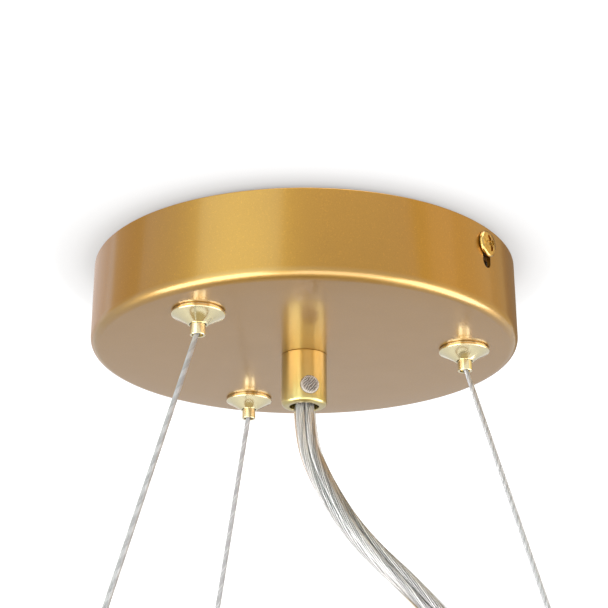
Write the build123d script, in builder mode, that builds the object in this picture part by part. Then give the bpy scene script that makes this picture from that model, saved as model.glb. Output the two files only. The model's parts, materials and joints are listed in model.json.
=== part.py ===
"""Ring chandelier: a round ceiling canopy, three adjustable steel cables, a clear power cord and a lit ring.

Millimetres, +Z up. The origin is the middle of the ceiling bracket's top face, where the lamp meets the
ceiling; everything hangs below it. +X is to the right and +Y away from somebody looking up at the canopy.
"""
from build123d import *
from math import cos, pi, radians, sin, tan
import os

# ---------------------------------------------------------------- canopy
CANOPY_R = 70.0                 # outside radius of the pressed shell
CANOPY_H = 28.0                 # ceiling to underside
CANOPY_WALL = 1.2
CANOPY_ROUND = 3.0              # rounded lower edge
UNDERSIDE = -CANOPY_H           # height of the canopy's flat lower face
FLOOR = UNDERSIDE + CANOPY_WALL  # height of the same wall's inner face

# ---------------------------------------------------------------- ceiling bracket and side screws
BRACKET_AZ = -37.5              # the strap's long axis runs through both side screws
BRACKET_T = 1.5
BRACKET_W = 22.0
EAR_FACE = 68.0                 # middle of the lamp to the outside of an ear
EAR_W = 14.0
EAR_H = 9.0
CEILING_HOLE_R = 2.5
CEILING_HOLE_X = 36.0           # two round holes, one each side of the middle
SUPPLY_HOLE_R = 6.0
SIDE_SCREW_Z = -6.0
SIDE_HEAD_R = 4.2
SIDE_HEAD_H = 2.6
SIDE_SHANK = 4.5
CROSS_L, CROSS_W, CROSS_DEPTH = 4.0, 0.9, 1.4   # recess of the pan-head screws
SIDE_SLOT_DROP = 5.5            # how far the shell can be lowered on loosened screws
M4_R = 2.0
THREAD_PLAY = 0.05              # a screw in its hole, drawn without the thread

# ---------------------------------------------------------------- cable grippers
GRIPPERS = {"right": -8.0, "far": 112.0, "left": 232.0}     # azimuth of each, degrees
GRIPPER_CIRCLE = 52.5
CAP_R = 8.2
CAP_EDGE = 1.1                  # thin rim above the cone
CAP_DEPTH = 4.1
CONE_R = 2.9                    # foot of the cone, round the nozzle
BARREL_R = 4.0
BARREL_TOP = 16.0               # above the canopy's underside
NOZZLE_R = 2.35
NOZZLE_TIP = -7.5               # below the canopy's underside
NOZZLE_FIT = 0.07
MOUTH_R = 1.5                   # bell mouth of the nozzle, and the narrower bore above it
CABLE_BORE = 1.0
FLANGE_R = 3.2                  # collar that keeps the nozzle in its cap
FLANGE_FOOT = -1.75
FLANGE_TOP = -0.75
PUSH = 1.8                      # travel of a nozzle when it is pressed to free the cable
FLANGE_ROOF = FLANGE_TOP + PUSH + 0.55
CAP_SOCKET = -1.8               # the barrel's foot sits in the cap's socket
STEM_R = 2.2
STEM_TOP = 8.0
WEDGE_TOP = 9.0                 # the bore is conical from here down to the flange's room
CHAMBER_R = 3.0
CHAMBER_ROOF = 14.4
BALL_R = 0.8
BALL_S = 5.0                    # height of the gripping balls
SPRING_R = 2.6
SPRING_BORE = 1.9
CABLE_R = 0.75
CABLE_BEND = 3.0

# ---------------------------------------------------------------- cord grip
GRIP_R = 7.5
GRIP_L = 17.5
GRIP_BORE = 4.8
GRIP_ROUND = 1.5
GRIP_MOUTH = UNDERSIDE - GRIP_L
NIPPLE_R = 5.0
CLAMP_AZ = -76.3                # the clear screw faces the viewer, a little to the right
CLAMP_Z = UNDERSIDE - 12.0
CLAMP_R = 3.0
CORD_R = 3.5
CORD_START = CLAMP_Z - 1.0

# ---------------------------------------------------------------- ring
RING_R = 190.0                  # middle of the ring's section
RING_SHIFT = -18.0              # the ring hangs a little to the left of the canopy's middle
RING_W = 20.0
RING_H = 30.0
RING_WALL = 1.5
CABLE_DROP = 427.7              # bend in the nozzle to the top of a ring anchor
CABLE_TOP = UNDERSIDE + 22.0
CABLE_KNEE = UNDERSIDE - 5.8
ANCHOR_H = 9.5
ANCHOR_R = 4.0
RING_TOP = CABLE_KNEE - CABLE_DROP - ANCHOR_H
RING_BOTTOM = RING_TOP - RING_H
WEB_TOP = RING_TOP - 11.0       # shelf between the wiring space and the light chamber
WEB_T = 1.2
GLAND_AZ = 25.0
GLAND_TOP = RING_TOP + 18.0
GLAND_SEAT = RING_TOP + 12.0    # floor of the socket that takes the cord
LED_COUNT = 60

os.makedirs("parts", exist_ok=True)


def on_circle(radius, azimuth, centre_x=0.0):
    """X and Y of a point on a level circle."""
    return (centre_x + radius * cos(radians(azimuth)), radius * sin(radians(azimuth)))


def profile_plane(x, y, z, azimuth=0.0):
    """Upright plane whose first direction is outward along an azimuth and whose second is up."""
    c, s = cos(radians(azimuth)), sin(radians(azimuth))
    return Plane(origin=(x, y, z), x_dir=(c, s, 0), z_dir=(s, -c, 0))


def outward_plane(x, y, z, azimuth):
    """Plane that faces outward along an azimuth, its second direction up."""
    return Plane(origin=(x, y, z), x_dir=(-sin(radians(azimuth)), cos(radians(azimuth)), 0),
                 z_dir=(cos(radians(azimuth)), sin(radians(azimuth)), 0))


def upright_axis(x, y):
    return Axis((x, y, 0), (0, 0, 1))


def in_bracket(x, y, z):
    """A point given along, across and above the strap, in the lamp's own directions."""
    c, s = cos(radians(BRACKET_AZ)), sin(radians(BRACKET_AZ))
    return (x * c - y * s, x * s + y * c, z)


def bracket_level(z):
    """Level plane turned so that its first direction runs along the strap."""
    return Plane(origin=(0, 0, z), x_dir=in_bracket(1, 0, 0), z_dir=(0, 0, 1))


def save(piece, name):
    piece.part.label = name
    export_step(piece.part, f"parts/{name}.step")


# ================================================================ ceiling bracket
strap_side = Plane(origin=(0, 0, 0), x_dir=in_bracket(1, 0, 0), z_dir=in_bracket(0, -1, 0))
with BuildPart() as ceiling_bracket:
    with BuildSketch(strap_side):
        with BuildLine():
            Polyline((-EAR_FACE, -EAR_H), (-EAR_FACE, 0), (EAR_FACE, 0), (EAR_FACE, -EAR_H),
                     (EAR_FACE - BRACKET_T, -EAR_H), (EAR_FACE - BRACKET_T, -BRACKET_T),
                     (BRACKET_T - EAR_FACE, -BRACKET_T), (BRACKET_T - EAR_FACE, -EAR_H), close=True)
        make_face()
    extrude(amount=BRACKET_W / 2, both=True)
    bends = ceiling_bracket.edges().filter_by(Axis(in_bracket(0, 0, 0), in_bracket(0, 1, 0)))
    fillet(bends.filter_by(lambda e: abs(e.center().Z) < 0.01), radius=1.4)
    with BuildSketch(bracket_level(0)):
        for side in (-1, 1):
            with Locations((side * (EAR_FACE - 4), BRACKET_W / 2), (side * (EAR_FACE - 4), -BRACKET_W / 2)):
                Rectangle(8, BRACKET_W - EAR_W)
    extrude(amount=-EAR_H, mode=Mode.SUBTRACT)
    with BuildSketch(bracket_level(0)):
        Circle(SUPPLY_HOLE_R)
        with Locations((CEILING_HOLE_X, 0), (-CEILING_HOLE_X, 0)):
            Circle(CEILING_HOLE_R)
        with Locations((18, 0), (-18, 0)):
            SlotOverall(14, 4.8)
        with Locations((-52, 0)):
            Circle(M4_R + THREAD_PLAY)
    extrude(amount=-BRACKET_T, mode=Mode.SUBTRACT)
    with BuildSketch(outward_plane(*in_bracket(0, 0, SIDE_SCREW_Z), BRACKET_AZ)):
        Circle(M4_R + THREAD_PLAY)
    extrude(amount=EAR_FACE + 1, both=True, mode=Mode.SUBTRACT)
save(ceiling_bracket, "ceiling_bracket")

# earth connection: a pan-head screw that holds a ring tag under the strap
EARTH_X = -52.0
TAG_T = 0.8
with BuildPart() as earth_tag:
    with BuildSketch(bracket_level(-BRACKET_T)):
        with Locations((EARTH_X, 0)):
            Circle(4.2)
        with Locations((EARTH_X + 6, 0)):
            Rectangle(8, 3)
        with Locations((EARTH_X, 0)):
            Circle(M4_R + THREAD_PLAY, mode=Mode.SUBTRACT)
    extrude(amount=-TAG_T)
save(earth_tag, "earth_tag")

with BuildPart() as earth_screw:
    with BuildSketch(bracket_level(-0.2)):
        with Locations((EARTH_X, 0)):
            Circle(M4_R)
    extrude(amount=-(BRACKET_T + TAG_T))
    with BuildSketch(bracket_level(-BRACKET_T - TAG_T)):
        with Locations((EARTH_X, 0)):
            Circle(3.8)
    extrude(amount=-2.6)
    fillet(earth_screw.edges().sort_by(Axis.Z)[0], radius=1.2)
    with BuildSketch(bracket_level(-BRACKET_T - TAG_T - 2.6)):
        with Locations((EARTH_X, 0)):
            Rectangle(CROSS_L, CROSS_W)
            Rectangle(CROSS_W, CROSS_L)
    extrude(amount=CROSS_DEPTH, mode=Mode.SUBTRACT)
save(earth_screw, "earth_screw")

# ================================================================ canopy shell
with BuildPart() as canopy_shell:
    Cylinder(CANOPY_R, CANOPY_H, align=(Align.CENTER, Align.CENTER, Align.MAX))
    fillet(canopy_shell.edges().sort_by(Axis.Z)[0], radius=CANOPY_ROUND)
    offset(amount=-CANOPY_WALL, openings=canopy_shell.faces().sort_by(Axis.Z)[-1])
    with BuildSketch(Plane.XY.offset(UNDERSIDE)):
        Circle(NIPPLE_R + 0.15)
        with Locations(*[on_circle(GRIPPER_CIRCLE, azimuth) for azimuth in GRIPPERS.values()]):
            Circle(BARREL_R + 0.15)
    extrude(amount=CANOPY_WALL, mode=Mode.SUBTRACT)
    slot_middle = SIDE_SCREW_Z - SIDE_SLOT_DROP / 2
    with BuildSketch(outward_plane(*in_bracket(0, 0, slot_middle), BRACKET_AZ)):
        SlotCenterToCenter(SIDE_SLOT_DROP, 2 * M4_R + 0.5, rotation=90)
    extrude(amount=CANOPY_R + 1, both=True, mode=Mode.SUBTRACT)
save(canopy_shell, "canopy_shell")

with BuildPart() as canopy_side_screws:
    for turn in (0, 180):
        azimuth = BRACKET_AZ + turn
        seat = outward_plane(*on_circle(CANOPY_R + 0.02, azimuth), SIDE_SCREW_Z, azimuth)
        with BuildSketch(seat):
            Circle(M4_R)
        extrude(amount=-SIDE_SHANK)
        with BuildSketch(seat):
            Circle(SIDE_HEAD_R)
        extrude(amount=SIDE_HEAD_H)
        outward = Axis((0, 0, 0), (*on_circle(1, azimuth), 0))
        fillet(canopy_side_screws.edges().sort_by(outward)[-1], radius=1.6)
        crown = on_circle(CANOPY_R + 0.02 + SIDE_HEAD_H, azimuth)
        with BuildSketch(outward_plane(*crown, SIDE_SCREW_Z, azimuth)):
            Rectangle(CROSS_L, CROSS_W)
            Rectangle(CROSS_W, CROSS_L)
        extrude(amount=-CROSS_DEPTH, mode=Mode.SUBTRACT)
save(canopy_side_screws, "canopy_side_screws")

# ================================================================ wiring inside the canopy
BLOCK_X, BLOCK_Z = 52.0, -BRACKET_T
with BuildPart() as terminal_block:
    with BuildSketch(bracket_level(BLOCK_Z)):
        with Locations((BLOCK_X, 0)):
            RectangleRounded(15, 25, 1.5)
    extrude(amount=-9)
    with BuildSketch(bracket_level(BLOCK_Z - 9)):
        with Locations((BLOCK_X, -8.5), (BLOCK_X, 0), (BLOCK_X, 8.5)):
            RectangleRounded(9, 7, 1)
    extrude(amount=-4)
    with BuildSketch(bracket_level(BLOCK_Z - 13)):
        with Locations((BLOCK_X, -8.5), (BLOCK_X, 0), (BLOCK_X, 8.5)):
            Circle(2)
    extrude(amount=3, mode=Mode.SUBTRACT)
save(terminal_block, "terminal_block")

DRIVER_TOP = -7.0
DRIVER_FRONT = 15.0             # side of the driver that faces the cord grip
DRIVER_X = (-36.0, 32.0)
with BuildPart() as led_driver:
    with BuildSketch(bracket_level(FLOOR)):
        with Locations(((DRIVER_X[0] + DRIVER_X[1]) / 2, DRIVER_FRONT + 16)):
            RectangleRounded(DRIVER_X[1] - DRIVER_X[0], 32, 3)
    extrude(amount=DRIVER_TOP - FLOOR)
    fillet(led_driver.faces().sort_by(Axis.Z)[-1].edges(), radius=1.5)
save(led_driver, "led_driver")


WIRE_R = 0.9
with BuildPart() as supply_leads:
    for level in (-5.5, -9.0):
        with BuildLine() as route:
            FilletPolyline(in_bracket(BLOCK_X - 7.5, 7.0, level), in_bracket(38, 7.0, level),
                           in_bracket(38, 21, level - 5), in_bracket(DRIVER_X[1], 21, level - 5), radius=2.5)
        with BuildSketch(Plane(origin=route.line @ 0, z_dir=route.line % 0)):
            Circle(WIRE_R)
        sweep(path=route.line)
save(supply_leads, "supply_leads")

TAIL_TOP = -15.0
with BuildPart() as output_leads:
    for across in (-1.3, 1.3):
        with BuildLine() as route:
            FilletPolyline(in_bracket(across, 0, TAIL_TOP), in_bracket(across, 0, -9.5),
                           in_bracket(across, DRIVER_FRONT, -9.5), radius=2.4)
        with BuildSketch(Plane(origin=route.line @ 0, z_dir=route.line % 0)):
            Circle(WIRE_R)
        sweep(path=route.line)
save(output_leads, "output_leads")

with BuildPart() as earth_lead:
    with BuildLine() as route:
        FilletPolyline(in_bracket(BLOCK_X - 7.7, -7.5, -5.0), in_bracket(30, -7.5, -4.2),
                       in_bracket(-28, -7.5, -3.4), in_bracket(EARTH_X + 10, 0, -BRACKET_T - TAG_T - WIRE_R),
                       radius=12.0)
    with BuildSketch(Plane(origin=route.line @ 0, z_dir=route.line % 0)):
        Circle(WIRE_R)
    sweep(path=route.line)
save(earth_lead, "earth_lead")

# ================================================================ cord grip
with BuildPart() as cord_grip_body:
    with BuildSketch(profile_plane(0, 0, 0)):
        with BuildLine():
            Polyline((NIPPLE_R + 0.03, UNDERSIDE), (GRIP_R, UNDERSIDE), (GRIP_R, GRIP_MOUTH),
                     (GRIP_BORE, GRIP_MOUTH), (GRIP_BORE, UNDERSIDE - 6.6),
                     (NIPPLE_R + 0.03, UNDERSIDE - 6.6), close=True)
        make_face()
    revolve(axis=Axis.Z)
    fillet(cord_grip_body.edges().group_by(Axis.Z)[0].sort_by(SortBy.LENGTH)[-1], radius=GRIP_ROUND)
    with BuildSketch(outward_plane(0, 0, CLAMP_Z, CLAMP_AZ)):
        Circle(CLAMP_R + THREAD_PLAY)
    extrude(amount=GRIP_R + 1, mode=Mode.SUBTRACT)
save(cord_grip_body, "cord_grip_body")

NIPPLE_TOP = FLOOR + 7.0
with BuildPart() as cord_grip_nipple:
    with BuildSketch(Plane.XY.offset(UNDERSIDE - 6.5)):
        Circle(NIPPLE_R)
        Circle(CORD_R + 0.4, mode=Mode.SUBTRACT)
    extrude(amount=NIPPLE_TOP - UNDERSIDE + 6.5)
    chamfer(cord_grip_nipple.edges().group_by(Axis.Z)[-1].sort_by(SortBy.LENGTH)[-1], length=0.4)
save(cord_grip_nipple, "cord_grip_nipple")

with BuildPart() as cord_grip_nut:
    with BuildSketch(Plane.XY.offset(FLOOR)):
        RegularPolygon(7.0, 6, major_radius=False)
        Circle(NIPPLE_R + 0.02, mode=Mode.SUBTRACT)
    extrude(amount=3.5)
save(cord_grip_nut, "cord_grip_nut")

with BuildPart() as cord_grip_bush:
    with BuildSketch(Plane.XY.offset(UNDERSIDE - 6.6)):
        Circle(GRIP_BORE - 0.05)
        Circle(CORD_R + 0.02, mode=Mode.SUBTRACT)
    extrude(amount=-2.0)
save(cord_grip_bush, "cord_grip_bush")

with BuildPart() as cord_grip_screw:
    with BuildSketch(outward_plane(*on_circle(CORD_R + 0.1, CLAMP_AZ), CLAMP_Z, CLAMP_AZ)):
        Circle(CLAMP_R)
    extrude(amount=GRIP_R - CORD_R + 0.5)
    tip = cord_grip_screw.faces().sort_by(Axis((0, 0, 0), (*on_circle(1, CLAMP_AZ), 0)))[-1]
    chamfer(tip.edges(), length=0.35)
    with BuildSketch(outward_plane(*on_circle(GRIP_R + 0.62, CLAMP_AZ), CLAMP_Z, CLAMP_AZ)):
        Rectangle(0.9, 7, rotation=35)
    extrude(amount=-1.2, mode=Mode.SUBTRACT)
save(cord_grip_screw, "cord_grip_screw")

with BuildPart() as cord_tail:
    with BuildSketch(Plane.XY.offset(CORD_START)):
        Circle(CORD_R)
    extrude(amount=TAIL_TOP - CORD_START)
save(cord_tail, "cord_tail")

# ================================================================ cable grippers
for name, azimuth in GRIPPERS.items():
    gx, gy = on_circle(GRIPPER_CIRCLE, azimuth)
    section = profile_plane(gx, gy, UNDERSIDE)
    centre_line = upright_axis(gx, gy)

    with BuildPart() as gripper_cap:
        with BuildSketch(section):
            with BuildLine():
                Polyline((BARREL_R + 0.03, 0), (CAP_R - 0.3, 0), (CAP_R, -0.3), (CAP_R, -CAP_EDGE),
                         (CONE_R + 0.3, 0.2 - CAP_DEPTH), (CONE_R, -CAP_DEPTH),
                         (NOZZLE_R + NOZZLE_FIT, -CAP_DEPTH), (NOZZLE_R + NOZZLE_FIT, CAP_SOCKET),
                         (BARREL_R + 0.03, CAP_SOCKET), close=True)
            make_face()
        revolve(axis=centre_line)
    save(gripper_cap, f"gripper_cap_{name}")

    # the bore narrows downwards, so that a loaded cable drags the balls tight
    with BuildPart() as gripper_barrel:
        with BuildSketch(section):
            with BuildLine():
                Polyline((FLANGE_R + 0.15, CAP_SOCKET + 0.1), (BARREL_R, CAP_SOCKET + 0.1),
                         (BARREL_R, BARREL_TOP - 0.5), (BARREL_R - 0.5, BARREL_TOP), (CABLE_BORE, BARREL_TOP),
                         (CABLE_BORE, CHAMBER_ROOF), (CHAMBER_R, CHAMBER_ROOF), (CHAMBER_R, WEDGE_TOP),
                         (CHAMBER_R - 0.35, WEDGE_TOP), (STEM_R + 0.08, FLANGE_ROOF),
                         (FLANGE_R + 0.15, FLANGE_ROOF), close=True)
            make_face()
        revolve(axis=centre_line)
    save(gripper_barrel, f"gripper_barrel_{name}")

    with BuildPart() as gripper_plunger:
        with BuildSketch(section):
            with BuildLine():
                Polyline((MOUTH_R, NOZZLE_TIP), (NOZZLE_R - 0.2, NOZZLE_TIP), (NOZZLE_R, NOZZLE_TIP + 0.2),
                         (NOZZLE_R, FLANGE_FOOT), (FLANGE_R, FLANGE_FOOT), (FLANGE_R, FLANGE_TOP),
                         (STEM_R, FLANGE_TOP), (STEM_R, STEM_TOP), (CABLE_BORE, STEM_TOP),
                         (CABLE_BORE, NOZZLE_TIP + 2), close=True)
            make_face()
        revolve(axis=centre_line)
        for turn in (0, 120, 240):
            with BuildSketch(outward_plane(gx, gy, UNDERSIDE + BALL_S, azimuth + turn)):
                Circle(BALL_R + THREAD_PLAY)
            extrude(amount=STEM_R + 0.5, mode=Mode.SUBTRACT)
    save(gripper_plunger, f"gripper_plunger_{name}")

    with BuildPart() as gripper_balls:
        for turn in (0, 120, 240):
            bx, by = on_circle(CABLE_R + BALL_R + 0.03, azimuth + turn)
            with Locations((gx + bx, gy + by, UNDERSIDE + BALL_S)):
                Sphere(BALL_R)
    save(gripper_balls, f"gripper_balls_{name}")

    with BuildPart() as gripper_spring:
        with BuildSketch(Plane.XY.offset(UNDERSIDE + STEM_TOP + 0.02)):
            with Locations((gx, gy)):
                Circle(SPRING_R)
                Circle(SPRING_BORE, mode=Mode.SUBTRACT)
        extrude(amount=CHAMBER_ROOF - STEM_TOP - 0.04)
    save(gripper_spring, f"gripper_spring_{name}")

with BuildPart() as gripper_nuts:
    with BuildSketch(Plane.XY.offset(FLOOR)):
        with Locations(*[on_circle(GRIPPER_CIRCLE, azimuth) for azimuth in GRIPPERS.values()]):
            RegularPolygon(6.5, 6, major_radius=False)
            Circle(BARREL_R + 0.02, mode=Mode.SUBTRACT)
    extrude(amount=4.0)
save(gripper_nuts, "gripper_nuts")

# ================================================================ steel cables and ring anchors
ANCHOR_MOUTH = RING_TOP + ANCHOR_H
for name, azimuth in GRIPPERS.items():
    gx, gy = on_circle(GRIPPER_CIRCLE, azimuth)
    ax, ay = on_circle(RING_R, azimuth, RING_SHIFT)

    with BuildPart() as steel_cable:
        with BuildLine() as route:
            FilletPolyline((gx, gy, CABLE_TOP), (gx, gy, CABLE_KNEE), (ax, ay, ANCHOR_MOUTH),
                           (ax, ay, ANCHOR_MOUTH - 5), radius=CABLE_BEND)
        with BuildSketch(Plane(origin=(gx, gy, CABLE_TOP), z_dir=(0, 0, -1))):
            Circle(CABLE_R)
        sweep(path=route.line)
    save(steel_cable, f"steel_cable_{name}")

    with BuildPart() as ring_anchor:
        with BuildSketch(profile_plane(ax, ay, RING_TOP)):
            with BuildLine():
                Polyline((0, -6), (M4_R, -6), (M4_R, 0), (ANCHOR_R, 0), (ANCHOR_R, ANCHOR_H - 1),
                         (ANCHOR_R - 1, ANCHOR_H), (1.7, ANCHOR_H), (1.0, ANCHOR_H - 1.5),
                         (1.0, 3.5), (0, 3.5), close=True)
            make_face()
        revolve(axis=upright_axis(ax, ay))
        with BuildSketch(outward_plane(ax, ay, RING_TOP + 6, azimuth)):
            Circle(1.5 + THREAD_PLAY)
        extrude(amount=ANCHOR_R + 1, mode=Mode.SUBTRACT)
    save(ring_anchor, f"ring_anchor_{name}")

with BuildPart() as anchor_set_screws:
    for azimuth in GRIPPERS.values():
        ax, ay = on_circle(RING_R, azimuth, RING_SHIFT)
        inward = on_circle(CABLE_R + 0.05, azimuth)
        with BuildSketch(outward_plane(ax + inward[0], ay + inward[1], RING_TOP + 6, azimuth)):
            Circle(1.5)
            RegularPolygon(0.75, 6, mode=Mode.SUBTRACT)
        extrude(amount=2.8)
save(anchor_set_screws, "anchor_set_screws")

with BuildPart() as anchor_nuts:
    with BuildSketch(Plane.XY.offset(RING_TOP - RING_WALL)):
        with Locations(*[on_circle(RING_R, azimuth, RING_SHIFT) for azimuth in GRIPPERS.values()]):
            RegularPolygon(3.5, 6, major_radius=False)
            Circle(M4_R + 0.02, mode=Mode.SUBTRACT)
    extrude(amount=-2.6)
save(anchor_nuts, "anchor_nuts")

# ================================================================ ring
SEAM_AZ = 180.0                 # where the rolled section's two ends meet
SEAM_DEG = 0.15                 # hairline gap between them
PLATE_DEG = 8.0
ring_section = profile_plane(RING_SHIFT, 0, 0, SEAM_AZ)
ring_axis = upright_axis(RING_SHIFT, 0)
gland_xy = on_circle(RING_R, GLAND_AZ, RING_SHIFT)
with BuildPart() as ring_housing:
    with BuildSketch(ring_section):
        with Locations((RING_R, (RING_TOP + RING_BOTTOM) / 2)):
            RectangleRounded(RING_W, RING_H, 1.2)
        with Locations((RING_R, (RING_TOP - RING_WALL + WEB_TOP) / 2)):
            Rectangle(RING_W - 2 * RING_WALL, RING_TOP - RING_WALL - WEB_TOP, mode=Mode.SUBTRACT)
        with Locations((RING_R, (WEB_TOP - WEB_T + RING_BOTTOM - 1) / 2)):
            Rectangle(RING_W - 2 * RING_WALL, WEB_TOP - WEB_T - RING_BOTTOM + 1, mode=Mode.SUBTRACT)
    revolve(axis=ring_axis, revolution_arc=360 - SEAM_DEG)
    with BuildSketch(Plane.XY.offset(RING_TOP)):
        with Locations(*[on_circle(RING_R, azimuth, RING_SHIFT) for azimuth in GRIPPERS.values()]):
            Circle(M4_R + 0.1)
        with Locations(gland_xy):
            Circle(4.55)
    extrude(amount=-2 * RING_WALL, mode=Mode.SUBTRACT)
    with BuildSketch(Plane.XY.offset(WEB_TOP)):
        with Locations(gland_xy):
            Circle(2.5)
    extrude(amount=-WEB_T, mode=Mode.SUBTRACT)
save(ring_housing, "ring_housing")

with BuildPart() as ring_joint_plate:
    with BuildSketch(profile_plane(RING_SHIFT, 0, 0, SEAM_AZ - PLATE_DEG / 2)):
        with Locations((RING_R, WEB_TOP + 1.5)):
            Rectangle(RING_W - 2 * RING_WALL - 0.4, 3)
    revolve(axis=ring_axis, revolution_arc=PLATE_DEG)
save(ring_joint_plate, "ring_joint_plate")

LED_Z = WEB_TOP - WEB_T
with BuildPart() as led_strip:
    with BuildSketch(Plane.XY.offset(LED_Z)):
        with Locations((RING_SHIFT, 0)):
            Circle(RING_R + 5)
            Circle(RING_R - 5, mode=Mode.SUBTRACT)
        with Locations(gland_xy):
            Circle(2.5, mode=Mode.SUBTRACT)
    extrude(amount=-0.4)
    with BuildSketch(Plane.XY.offset(LED_Z - 0.4)):
        with Locations((RING_SHIFT, 0)):
            with PolarLocations(RING_R, LED_COUNT):
                Rectangle(2.8, 3.5)
    extrude(amount=-0.8)
save(led_strip, "led_strip")

LENS_HALF = RING_W / 2 - RING_WALL - 0.05
with BuildPart() as led_diffuser:
    with BuildSketch(ring_section):
        with BuildLine():
            Polyline((RING_R + LENS_HALF, RING_BOTTOM), (RING_R + LENS_HALF, RING_BOTTOM + 5),
                     (RING_R + LENS_HALF - 1.3, RING_BOTTOM + 5), (RING_R + LENS_HALF - 1.3, RING_BOTTOM + 1.6),
                     (RING_R - LENS_HALF + 1.3, RING_BOTTOM + 1.6), (RING_R - LENS_HALF + 1.3, RING_BOTTOM + 5),
                     (RING_R - LENS_HALF, RING_BOTTOM + 5), (RING_R - LENS_HALF, RING_BOTTOM))
            ThreePointArc((RING_R - LENS_HALF, RING_BOTTOM), (RING_R, RING_BOTTOM - 1.0),
                          (RING_R + LENS_HALF, RING_BOTTOM))
        make_face()
    revolve(axis=ring_axis)
save(led_diffuser, "led_diffuser")

# ================================================================ cord inlet on the ring
with BuildPart() as ring_inlet_gland:
    with BuildSketch(profile_plane(*gland_xy, 0)):
        with BuildLine():
            Polyline((2.3, RING_TOP - 7), (4.4, RING_TOP - 7), (4.4, RING_TOP), (7.5, RING_TOP),
                     (7.5, RING_TOP + 6), (6.6, RING_TOP + 6.8), (6.6, GLAND_TOP - 2.5),
                     (5.2, GLAND_TOP), (CORD_R + 0.05, GLAND_TOP), (CORD_R + 0.05, GLAND_SEAT),
                     (2.3, GLAND_SEAT), close=True)
        make_face()
    revolve(axis=upright_axis(*gland_xy))
save(ring_inlet_gland, "ring_inlet_gland")

with BuildPart() as ring_gland_nut:
    with BuildSketch(Plane.XY.offset(RING_TOP - RING_WALL)):
        with Locations(gland_xy):
            RegularPolygon(6.5, 6, major_radius=False)
            Circle(4.42, mode=Mode.SUBTRACT)
    extrude(amount=-3)
save(ring_gland_nut, "ring_gland_nut")

with BuildPart() as ring_leads:
    with BuildSketch(Plane.XY.offset(GLAND_SEAT)):
        with Locations((gland_xy[0] - 1.1, gland_xy[1]), (gland_xy[0] + 1.1, gland_xy[1])):
            Circle(0.8)
    extrude(amount=LED_Z - 0.4 - GLAND_SEAT)
save(ring_leads, "ring_leads")

# ================================================================ power cord
CORD_ROUTE = [(0, 0, CORD_START), (0, 0, -56), (6.2, 0, -71.5), (17.5, 0, -89), (36, 0, -106),
              (66, 6, -138), (104, 24, -194), (136, 48, -268), (154, 70, -348),
              (*gland_xy, -415), (*gland_xy, GLAND_SEAT)]
RUN_SHARE = 0.45                # of the shorter run beside a corner, taken up by its arc
corners = [Vector(*point) for point in CORD_ROUTE]
runs = [b - a for a, b in zip(corners, corners[1:])]
bends = []
for before, after in zip(runs, runs[1:]):
    half_turn = radians(before.get_angle(after)) / 2
    bends.append(RUN_SHARE * min(before.length, after.length) / tan(half_turn))

with BuildPart() as power_cord:
    with BuildLine() as cord_line:
        FilletPolyline(*CORD_ROUTE, radius=bends)
    with BuildSketch(Plane(origin=CORD_ROUTE[0], z_dir=(0, 0, -1))):
        Circle(CORD_R)
    sweep(path=cord_line.line)
save(power_cord, "power_cord")

print("cord runs", [round(run.length, 1) for run in runs])
print("cord bend radii", [round(bend, 1) for bend in bends])
cord_length = sum(edge.length for edge in cord_line.edges())
tube_volume = pi * CORD_R ** 2 * cord_length
print("cord length", round(cord_length, 1), "volume ratio", round(power_cord.part.volume / tube_volume, 4))
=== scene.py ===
"""Looks of the ring chandelier: a satin gold canopy, stranded steel cables, a clear power cord and a ring.

Metres, +Z up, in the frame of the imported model. Every piece rides on the model's own bodies.
"""
import json
import math

import bpy
from bpy.props import FloatProperty, FloatVectorProperty, IntProperty, PointerProperty
from bpy.types import Operator, Panel, PropertyGroup
from mathutils import Matrix, Vector


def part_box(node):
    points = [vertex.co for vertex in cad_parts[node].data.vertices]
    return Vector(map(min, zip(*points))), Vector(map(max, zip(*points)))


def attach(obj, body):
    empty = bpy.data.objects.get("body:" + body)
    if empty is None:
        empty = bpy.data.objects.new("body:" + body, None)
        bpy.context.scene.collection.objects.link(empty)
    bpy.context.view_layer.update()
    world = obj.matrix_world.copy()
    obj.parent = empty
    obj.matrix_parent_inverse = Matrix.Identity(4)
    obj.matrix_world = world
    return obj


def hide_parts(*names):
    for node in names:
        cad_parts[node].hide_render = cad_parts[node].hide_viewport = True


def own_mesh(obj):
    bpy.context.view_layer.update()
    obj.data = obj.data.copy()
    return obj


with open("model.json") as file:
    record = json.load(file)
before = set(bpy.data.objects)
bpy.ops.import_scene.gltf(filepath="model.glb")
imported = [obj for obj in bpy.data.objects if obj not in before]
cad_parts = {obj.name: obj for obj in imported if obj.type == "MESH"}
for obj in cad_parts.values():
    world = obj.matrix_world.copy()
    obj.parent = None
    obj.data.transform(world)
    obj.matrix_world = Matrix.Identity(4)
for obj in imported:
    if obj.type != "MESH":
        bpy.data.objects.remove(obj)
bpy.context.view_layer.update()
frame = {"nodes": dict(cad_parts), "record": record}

bl_info = {
    "name": "Ring chandelier looks",
    "version": (1, 0, 0),
    "blender": (4, 5, 0),
    "location": "View3D > Sidebar > Chandelier",
    "description": "Finishes and detailed pieces for a ring chandelier on three cables",
    "category": "Object",
}

MM = 0.001
MERGE = 0.00001                 # points nearer than this are one
SHARP = math.radians(32)        # edges that turn more than this stay crisp
ROUND = math.radians(80)        # the same for thin wires of few sides
AZIMUTHS = {"right": -8.0, "far": 112.0, "left": 232.0}     # degrees, of the grippers and anchors
NAMES = tuple(AZIMUTHS)
UP = Vector((0, 0, 1))
WHITE = (1, 1, 1, 1)


def middle(node):
    """The middle of a model node's box."""
    low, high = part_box(node)
    return (Vector(low) + Vector(high)) / 2


def level(node, top=False):
    """Height of a node's foot, or of its top."""
    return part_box(node)[1 if top else 0][2]


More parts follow.
